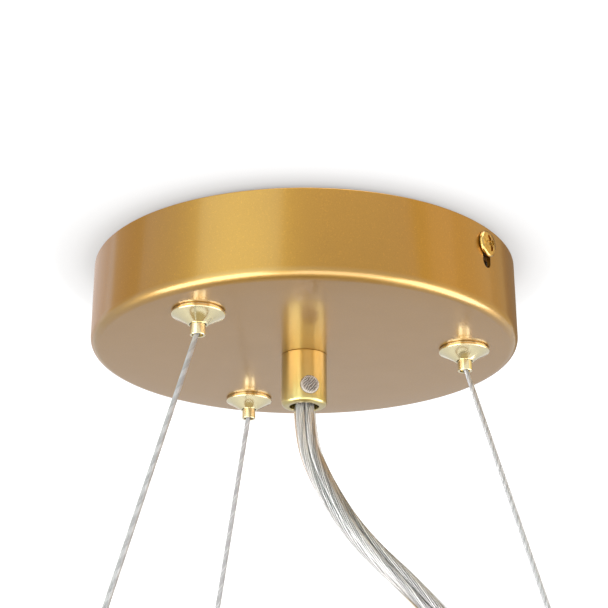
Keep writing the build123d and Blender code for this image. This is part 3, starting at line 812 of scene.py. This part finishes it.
def cord_grip(sizes):
    """Turned sleeve with a drilled hole for its clamping screw."""
    r, mouth, bore = sizes.radius, UNDERSIDE - sizes.height, sizes.bore
    thread, thread_foot = 5.03 * MM, UNDERSIDE - 6.6 * MM
    outline = rounded((thread, UNDERSIDE), (r, UNDERSIDE, 0.25 * MM), (r, mouth, sizes.rounding),
                      (bore, mouth, 0.2 * MM), (bore, thread_foot), (thread, thread_foot),
                      (thread, UNDERSIDE), steps=6)
    sleeve = lathe("cord_grip_body_smooth", outline, steps=144)
    place = grip_face(sizes)
    gap = 0.12 * MM
    drilled(sleeve, sizes.screw_radius + gap, 6 * MM, sizes.screw_angle, place, 48)
    dress(sleeve, "gold_paint", "cord_grip_body", finish="satin_brass")

    top, foot = 0.62 * MM, -3.5 * MM
    rad = sizes.screw_radius
    outline = rounded((0, top), (rad, top, 0.4 * MM), (rad, foot), (0, foot), steps=6)
    screw = lathe("cord_grip_screw_smooth", outline, steps=64)
    slot = (7 * MM, 0.7 * MM, 0.5 * MM)
    cut(screw, box_cutter(slot, Vector((0, 0, top)), Matrix.Rotation(math.radians(35), 3, "Z")))
    turned_to(screw, sizes.screw_angle, place)
    dress(screw, "clear_plastic", "cord_grip_screw")


class CHANDELIER_OT_cord_grip(Maker, Operator):
    """Turn the cord grip below the canopy and its clear clamping screw"""
    bl_idname = "chandelier.cord_grip"
    bl_label = "Cord grip"

    def make(self, scene):
        cord_grip(scene.grip_sizes)


def curve_points(name, route, order):
    """Points along a smooth curve through its control points, and the curve object itself."""
    data = bpy.data.curves.new(name, "CURVE")
    data.dimensions = "3D"
    data.resolution_u = 24
    spline = data.splines.new("NURBS")
    spline.points.add(len(route) - 1)
    for point, place in zip(spline.points, route):
        point.co = (*place, 1)
    spline.order_u = order
    spline.use_endpoint_u = True
    curve = added(name, data)
    graph = bpy.context.evaluated_depsgraph_get()
    mesh = bpy.data.meshes.new_from_object(curve.evaluated_get(graph))
    points = [vertex.co.copy() for vertex in mesh.vertices]
    bpy.data.meshes.remove(mesh)
    return curve, points


def evenly(points, spacing):
    """The same line with points spaced evenly."""
    reach = [0.0]
    for here, there in zip(points, points[1:]):
        reach.append(reach[-1] + (there - here).length)
    count = max(2, round(reach[-1] / spacing))
    line, index = [], 0
    for step in range(count + 1):
        goal = reach[-1] * step / count
        while index < len(points) - 2 and reach[index + 1] < goal:
            index += 1
        share = (goal - reach[index]) / max(reach[index + 1] - reach[index], 1e-9)
        line.append(points[index].lerp(points[index + 1], min(1.0, share)))
    return line


def sections(line):
    """Two directions across a line at each of its points, carried along without a twist."""
    across = (line[1] - line[0]).orthogonal().normalized()
    pairs = []
    for index in range(len(line)):
        ahead = (line[min(index + 1, len(line) - 1)] - line[max(index - 1, 0)]).normalized()
        across = (across - ahead * across.dot(ahead)).normalized()
        pairs.append((across, ahead.cross(across)))
    return pairs


def winding(line, lay, offset, phase):
    """A line that winds about another one, one turn in each lay."""
    step = (line[1] - line[0]).length
    wound = []
    for index, (here, (u, v)) in enumerate(zip(line, sections(line))):
        turn = phase + math.tau * step * index / lay
        wound.append(here + (u * math.cos(turn) + v * math.sin(turn)) * offset)
    return wound


def strand(name, line, radius, sides=6):
    """A round wire along a line, swept as rings of vertices."""
    vertices, faces = [], []
    for centre, (u, v) in zip(line, sections(line)):
        for side in range(sides):
            a = math.tau * side / sides
            vertices.append(centre + (u * math.cos(a) + v * math.sin(a)) * radius)
    for ring in range(len(line) - 1):
        for side in range(sides):
            a, b = ring * sides + side, ring * sides + (side + 1) % sides
            faces.append((a, b, b + sides, a + sides))
    faces.append(tuple(reversed(range(sides))))
    faces.append(tuple(range(len(vertices) - sides, len(vertices))))
    mesh = bpy.data.meshes.new(name)
    mesh.from_pydata([tuple(v) for v in vertices], [], faces)
    return added(name, mesh)


def steel_cable(name, sizes):
    """Strands laid round a core, from inside the gripper to the ring anchor."""
    top = middle(f"gripper_cap_{name}")
    foot = middle(f"ring_anchor_{name}")
    mouth = level(f"ring_anchor_{name}", top=True)
    start = level(f"steel_cable_{name}", top=True)
    knee = UNDERSIDE - 5.8 * MM     # where the cable turns towards its anchor
    soft = 2.5 * MM                 # how far from a turn the cable starts to bend
    run = Vector((foot.x, foot.y, mouth)) - Vector((top.x, top.y, knee))
    near = run.normalized() * soft
    route = [(top.x, top.y, start), (top.x, top.y, knee + soft), (top.x, top.y, knee),
             Vector((top.x, top.y, knee)) + near, Vector((foot.x, foot.y, mouth)) - near,
             (foot.x, foot.y, mouth), (foot.x, foot.y, mouth - soft), (foot.x, foot.y, mouth - 5 * MM)]
    curve, points = curve_points(f"cable_line_{name}", route, 3)
    line = evenly(points, sizes.lay / 14)
    bpy.data.objects.remove(curve)
    wire = sizes.radius * 0.302     # seven strands that touch each other
    filling = wire * 1.7            # the core fills the space that they leave
    pieces = []
    for turn in range(sizes.strands):
        wound = winding(line, sizes.lay, sizes.radius - wire, math.tau * turn / sizes.strands)
        pieces.append(strand("strand", wound, wire))
    pieces.append(strand("core", line[::6], filling))
    return settle(joined(pieces, f"steel_cable_{name}_strands"), ROUND)


def anchor(name, sizes):
    """Turned anchor that screws into the ring, with a rounded shoulder and a bell mouth."""
    foot = middle(f"ring_anchor_{name}")
    foot.z = RING_TOP
    r, h = sizes.anchor_radius, sizes.anchor_height
    bore, bore_foot, soft = 0.95 * MM, 3.5 * MM, 0.3 * MM
    groove, seat = r - 0.35 * MM, 0.02 * MM
    stud, stud_foot = 2 * MM, -6 * MM
    outline = rounded((0, bore_foot), (bore, bore_foot), (bore, h - 1.5 * MM), (1.7 * MM, h, soft),
                      (r - 0.9 * MM, h, soft), (r, h - 1.0 * MM, 0.4 * MM), (r, 1.4 * MM),
                      (groove, 1.2 * MM), (groove, 0.8 * MM), (r, 0.6 * MM), (r, seat),
                      (stud, seat), (stud, stud_foot), (0, stud_foot), steps=4)
    turned = lathe(f"ring_anchor_{name}_smooth", outline, foot, 64)
    azimuth = math.radians(AZIMUTHS[name])
    set_screw = foot + outward(azimuth, r) + UP * 6 * MM
    return drilled(turned, 1.55 * MM, 4.6 * MM, azimuth, set_screw, 32)


class CHANDELIER_OT_cables(Maker, Operator):
    """Lay the three stranded steel cables and turn their ring anchors"""
    bl_idname = "chandelier.cables"
    bl_label = "Steel cables"

    def make(self, scene):
        sizes = scene.cable_sizes
        for name in NAMES:
            dress(steel_cable(name, sizes), "steel", f"steel_cable_{name}")
            dress(anchor(name, sizes), "brass", f"ring_anchor_{name}")


GLAND = middle("ring_inlet_gland")
CORD_START = level("power_cord", top=True)
CORD_ROUTE = [(0, 0, CORD_START), (0, 0, -0.056), (0.0062, 0, -0.0715), (0.0175, 0, -0.089),
              (0.036, 0, -0.106), (0.066, 0.006, -0.138), (0.104, 0.024, -0.194),
              (0.136, 0.048, -0.268), (0.154, 0.070, -0.348),
              (GLAND.x, GLAND.y, -0.415), (GLAND.x, GLAND.y, RING_TOP + 0.012)]


def power_cord(sizes):
    """Clear sheath on one smooth curve, with twisted bundles of tinned wire inside."""
    sheath, points = curve_points("power_cord_sheath", CORD_ROUTE, 3)
    sheath.data.bevel_depth = sizes.radius
    sheath.data.bevel_resolution = 8
    sheath.data.resolution_u = 16
    line = evenly(points, 2.0 * MM)
    off_middle = sizes.core_radius * 1.16       # three cores that touch each other
    filling = sizes.core_radius - 2.2 * sizes.wire_radius
    wires = []
    for core in range(sizes.cores):
        middle_line = winding(line, sizes.lay, off_middle, math.tau * core / sizes.cores)
        wires.append(strand("filling", middle_line, filling, 8))
        for turn in range(sizes.wires):
            wound = winding(middle_line, sizes.wire_lay, sizes.core_radius - sizes.wire_radius,
                            math.tau * turn / sizes.wires)
            wires.append(strand("wire", wound, sizes.wire_radius, 5))
    bundle = settle(joined(wires, "power_cord_cores"), ROUND)
    dress(bundle, "steel", finish="tinned_strands")
    dress(sheath, "clear_cord", "power_cord")


class CHANDELIER_OT_power_cord(Maker, Operator):
    """Hang the clear power cord between its grip and the ring"""
    bl_idname = "chandelier.power_cord"
    bl_label = "Power cord"

    def make(self, scene):
        power_cord(scene.cord_sizes)


def ring(sizes):
    """Rolled channel with soft corners, and its crowned diffuser."""
    out, inner = sizes.radius, sizes.radius - sizes.width
    wall, soft = sizes.wall, sizes.rounding
    ledge = RING_BOTTOM + 6.5 * MM
    outline = rounded((inner, RING_TOP, soft), (out, RING_TOP, soft), (out, RING_BOTTOM, soft * 0.5),
                      (out - wall, RING_BOTTOM, 0.2 * MM), (out - wall, ledge), (inner + wall, ledge),
                      (inner + wall, RING_BOTTOM, 0.2 * MM), (inner, RING_BOTTOM, soft * 0.5), steps=5)
    outline.append(outline[0])
    housing = lathe("ring_housing_smooth", outline, RING_MIDDLE, 320)
    dress(housing, "gold_paint", "ring_housing")

    half = sizes.width / 2 - wall - 0.05 * MM
    mid = sizes.radius - sizes.width / 2
    rail_top, floor, rail = RING_BOTTOM + 5 * MM, RING_BOTTOM + 1.6 * MM, half - 1.3 * MM
    crown = [(mid + half * s, RING_BOTTOM - sizes.crown * (1 - s * s)) for s in
             (1.0, 0.85, 0.65, 0.4, 0.15, -0.15, -0.4, -0.65, -0.85, -1.0)]
    lens = [(mid + half, rail_top), *crown, (mid - half, rail_top), (mid - rail, rail_top),
            (mid - rail, floor), (mid + rail, floor), (mid + rail, rail_top), (mid + half, rail_top)]
    dress(lathe("led_diffuser_smooth", lens, RING_MIDDLE, 256), "opal", "led_diffuser")


class CHANDELIER_OT_ring(Maker, Operator):
    """Roll the ring's housing and its opal diffuser"""
    bl_idname = "chandelier.ring"
    bl_label = "Ring"

    def make(self, scene):
        ring(scene.ring_sizes)


def inlet_gland():
    """Turned gland on the ring with a tapered nose."""
    foot = Vector((GLAND.x, GLAND.y, RING_TOP))
    top = level("ring_inlet_gland", top=True) - RING_TOP
    cord, bore, bore_top = 3.55 * MM, 2.3 * MM, 12 * MM
    thread, thread_foot, seat = 4.4 * MM, -7 * MM, 0.02 * MM
    flange, nose = 7.5 * MM, 6.6 * MM
    outline = rounded((bore, thread_foot), (thread, thread_foot), (thread, seat), (flange, seat, 0.2 * MM),
                      (flange, 6 * MM, 0.5 * MM), (nose, 6.3 * MM), (nose, top - 2.5 * MM, 1.2 * MM),
                      (5.2 * MM, top, 0.6 * MM), (cord, top, 0.3 * MM), (cord, bore_top),
                      (bore, bore_top), (bore, thread_foot), steps=5)
    return lathe("ring_inlet_gland_smooth", outline, foot, 96)


class CHANDELIER_OT_inlet(Maker, Operator):
    """Turn the gland where the power cord enters the ring"""
    bl_idname = "chandelier.inlet"
    bl_label = "Cord inlet"

    def make(self, scene):
        dress(inlet_gland(), "brass", "ring_inlet_gland")


HARDWARE = {
    "zinc_steel": ["ceiling_bracket", "earth_tag", "earth_screw", "cord_grip_nipple", "cord_grip_nut",
                   "anchor_nuts", "anchor_set_screws", "ring_joint_plate", "ring_gland_nut"],
    "white_plastic": ["terminal_block", "led_driver", "cord_grip_bush"],
    "white_wire": ["output_leads", "ring_leads"],
    "green_wire": ["earth_lead"],
    "brown_wire": ["supply_leads"],
    "clear_cord": ["cord_tail"],
    "led_board": ["led_strip"],
    "brass": ["gripper_nuts"] + [f"gripper_barrel_{name}" for name in NAMES],
    "steel": [f"gripper_{part}_{name}" for part in ("balls", "spring") for name in NAMES],
}


class CHANDELIER_OT_hardware(Maker, Operator):
    """Give the model's own inner pieces their finishes, and each spring that the joints deform its own mesh
    """
    bl_idname = "chandelier.hardware"
    bl_label = "Inner hardware"

    def make(self, scene):
        for slot, names in HARDWARE.items():
            for name in names:
                node = frame["nodes"][name]
                node.data.materials.clear()
                node.data.materials.append(FINISHES[slot])
        for joint in frame["record"]["behaviour"]["joints"]:
            for spring in joint["deforming_nodes"]:
                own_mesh(frame["nodes"][spring["node"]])


# ---------------------------------------------------------------- stage
AIM = Vector((0, 0, -0.02))     # where lamps and cards face


def seen_from_below(settings):
    """White ceiling that only the camera sees, and only from its lower side, with a painted contact shadow
    round the canopy.
    """
    f = Finish("stage_ceiling")
    shadow_start, shadow_width = 60 * MM, 30 * MM
    # Painted contact shadow: the ceiling's glow ramps down towards the canopy and reaches furthest in front,
    # since the middle is moved 6 mm towards the camera.
    reach = f.reach(f.place(move=(0, 6 * MM, 0)))
    away = f.ramp((reach - shadow_start) / shadow_width, (0.0, 0.0), (0.12, 0.20), (0.20, 0.40),
                  (0.29, 0.52), (0.38, 0.60), (0.46, 0.67), (0.56, 0.73), (0.72, 0.79), (1.0, 1.0))
    lit = f.glowing_chalk(away * settings.ceiling_glow, rgba((1, 1, 1), settings.ceiling_white))
    return f.open_behind(lit, f.node("ShaderNodeLightPath").out("Is Camera Ray"))


def pale_floor():
    """Pale floor, open from below, which keeps its shadow and reads as white."""
    f = Finish("stage_floor")
    rays = f.node("ShaderNodeLightPath")
    mirrored = f.larger(rays.out("Is Glossy Ray"), rays.out("Is Transmission Ray"))
    grain = f.noise(0.4, 2.0)
    chalky = f.mix(grain, (0.80, 0.80, 0.79, 1), (0.84, 0.84, 0.83, 1))
    seen_glow, mirrored_glow = 0.58, 0.35
    glow = rays.out("Is Camera Ray") * seen_glow + mirrored * mirrored_glow
    return f.open_behind(f.glowing_chalk(glow, chalky))


def white_world(strength):
    """White surroundings for the camera, metal and glass, softer on everything else."""
    world = bpy.data.worlds.new("stage_world")
    bpy.context.scene.world = world
    world.use_nodes = True
    g = Graph(world.node_tree)
    rays = g.node("ShaderNodeLightPath")
    seen = g.larger(rays.out("Is Camera Ray"), rays.out("Is Glossy Ray"))
    white = g.larger(seen, rays.out("Is Transmission Ray"))
    g.connect(g.tree.nodes["Background"], {"Color": WHITE, "Strength": white * (1 - strength) + strength})


def softbox(name, azimuth, reach, height, size, glow, shade=(1, 1, 1)):
    """A flat soft lamp that faces the canopy; glow is its brightness beside a white wall's 1."""
    data = bpy.data.lights.new(name, "AREA")
    data.shape = "RECTANGLE"
    data.size, data.size_y = size
    data.energy = glow * math.pi * size[0] * size[1]
    data.color = shade
    lamp = added(name, data)
    lamp.location = outward(math.radians(azimuth), reach) + UP * height
    lamp.rotation_euler = (AIM - lamp.location).to_track_quat("-Z", "Y").to_euler()
    lamp.visible_camera = False
    return lamp


def board(name, size, place, front, material, flipped=False):
    """A flat piece of the stage that faces the way of front, or away from it if flipped."""
    deselect()
    bpy.ops.mesh.primitive_plane_add(size=1)
    sheet = bpy.context.object
    sheet.name = name
    if flipped:
        bpy.ops.object.mode_set(mode="EDIT")
        bpy.ops.mesh.flip_normals()
        bpy.ops.object.mode_set(mode="OBJECT")
    sheet.scale = (*size, 1)
    sheet.rotation_euler = front.to_track_quat("Z", "Y").to_euler()
    sheet.location = place
    bpy.ops.object.transform_apply(location=True, rotation=True, scale=True)
    sheet.data.materials.append(material)
    return sheet


def card(name, azimuth, height, size, shade, reach=1.2):
    """A card beside the lamp that only reflections see; shade is the light it sends back."""
    f = Finish(f"stage_{name}")
    cloudy = f.varied(f.noise(0.3), shade, 0.96, 1.04)
    place = outward(math.radians(azimuth), reach) + UP * height
    sheet = board(name, size, place, AIM - place, f.show(f.glow(cloudy, 1.0)))
    sheet.visible_camera = False
    sheet.visible_diffuse = False
    sheet.visible_shadow = False


class CHANDELIER_OT_stage(Maker, Operator):
    """Set the camera, the ceiling, the floor, the world and the lamps"""
    bl_idname = "chandelier.stage"
    bl_label = "Stage"

    def make(self, scene):
        settings = scene.stage_settings
        data = bpy.data.cameras.new("camera")
        data.lens = settings.lens
        data.sensor_width = 36.0
        data.clip_start, data.clip_end = 0.01, 50.0
        camera = added("camera", data)
        camera.location = settings.camera
        camera.rotation_euler = (math.pi / 2 + settings.pitch, 0, -settings.yaw)
        scene.camera = camera
        scene.view_settings.view_transform = "Standard"

        board("stage_ceiling", (12.0, 12.0), Vector(), UP, seen_from_below(settings), flipped=True)
        board("stage_floor", (30.0, 30.0), UP * -settings.floor_drop, UP, pale_floor())
        white_world(strength=0.45)
        pale = (1.0, 0.99, 1.02)
        # name, azimuth in degrees, distance, height, size, brightness, tint
        softbox("below", 0, 0.0, -1.3, (1.5, 1.5), 0.8).visible_glossy = False
        softbox("left_panel", -124, 1.41, 0.15, (1.1, 2.0), 1.3, (0.75, 1.0, 0.9))
        softbox("right_panel", -15, 1.41, 0.15, (0.4, 2.0), 0.3)
        softbox("front_low", -72, 1.1, -0.8, (1.0, 0.8), 2.4, pale)
        softbox("right_low", -8, 1.1, -0.8, (1.5, 0.8), 4.8, pale)
        softbox("left_low", -143, 1.1, -0.8, (1.5, 0.8), 5.4, pale)
        softbox("above", -60, 0.58, 1.4, (1.2, 1.2), 3.1)
        # name, azimuth in degrees, height, size, brightness of red, green and blue
        card("right_wall", 8, 0.75, (2.7, 2.4), (1.05, 0.86, 0.48), reach=1.7)
        card("right_edge", 35, 0.75, (0.62, 2.1), (0.72, 0.54, 0.27), reach=1.5)
        card("behind_right", 68, 0.7, (1.25, 1.8), (0.27, 0.19, 0.12))
        card("behind_left", 118, 0.7, (1.2, 1.8), (0.78, 0.66, 0.60))
        card("left_wall", 163, 0.7, (0.66, 1.8), (0.78, 0.60, 0.36), reach=1.3)
        card("under", -90, -1.4, (1.1, 1.1), (0.55, 0.46, 0.28), reach=0.2)


class CHANDELIER_PT_panel(Panel):
    """The pieces of the chandelier, in the order in which they are made"""
    bl_idname = "CHANDELIER_PT_panel"
    bl_label = "Ring chandelier"
    bl_space_type = "VIEW_3D"
    bl_region_type = "UI"
    bl_category = "Chandelier"

    def draw(self, context):
        for operator in OPERATORS:
            self.layout.operator(operator.bl_idname)


GROUPS = {
    "canopy_sizes": CanopySizes,
    "gripper_sizes": GripperSizes,
    "grip_sizes": GripSizes,
    "cable_sizes": CableSizes,
    "cord_sizes": CordSizes,
    "ring_sizes": RingSizes,
    "colours": Colours,
    "stage_settings": StageSettings,
}
OPERATORS = (CHANDELIER_OT_stage, CHANDELIER_OT_power_cord, CHANDELIER_OT_canopy, CHANDELIER_OT_side_screws,
             CHANDELIER_OT_grippers, CHANDELIER_OT_cord_grip, CHANDELIER_OT_cables, CHANDELIER_OT_ring,
             CHANDELIER_OT_inlet, CHANDELIER_OT_hardware)


def register():
    for kind in (*GROUPS.values(), *OPERATORS, CHANDELIER_PT_panel):
        bpy.utils.register_class(kind)
    for name, kind in GROUPS.items():
        setattr(bpy.types.Scene, name, PointerProperty(type=kind))


def unregister():
    for name in GROUPS:
        delattr(bpy.types.Scene, name)
    for kind in (CHANDELIER_PT_panel, *reversed(OPERATORS), *reversed(GROUPS.values())):
        bpy.utils.unregister_class(kind)


def main():
    register()
    scene = bpy.context.scene
    make_finishes(scene.colours, scene.grip_sizes)
    for operator in OPERATORS:
        group, name = operator.bl_idname.split(".")
        getattr(getattr(bpy.ops, group), name)()
    deselect()


if __name__ == "__main__":
    main()
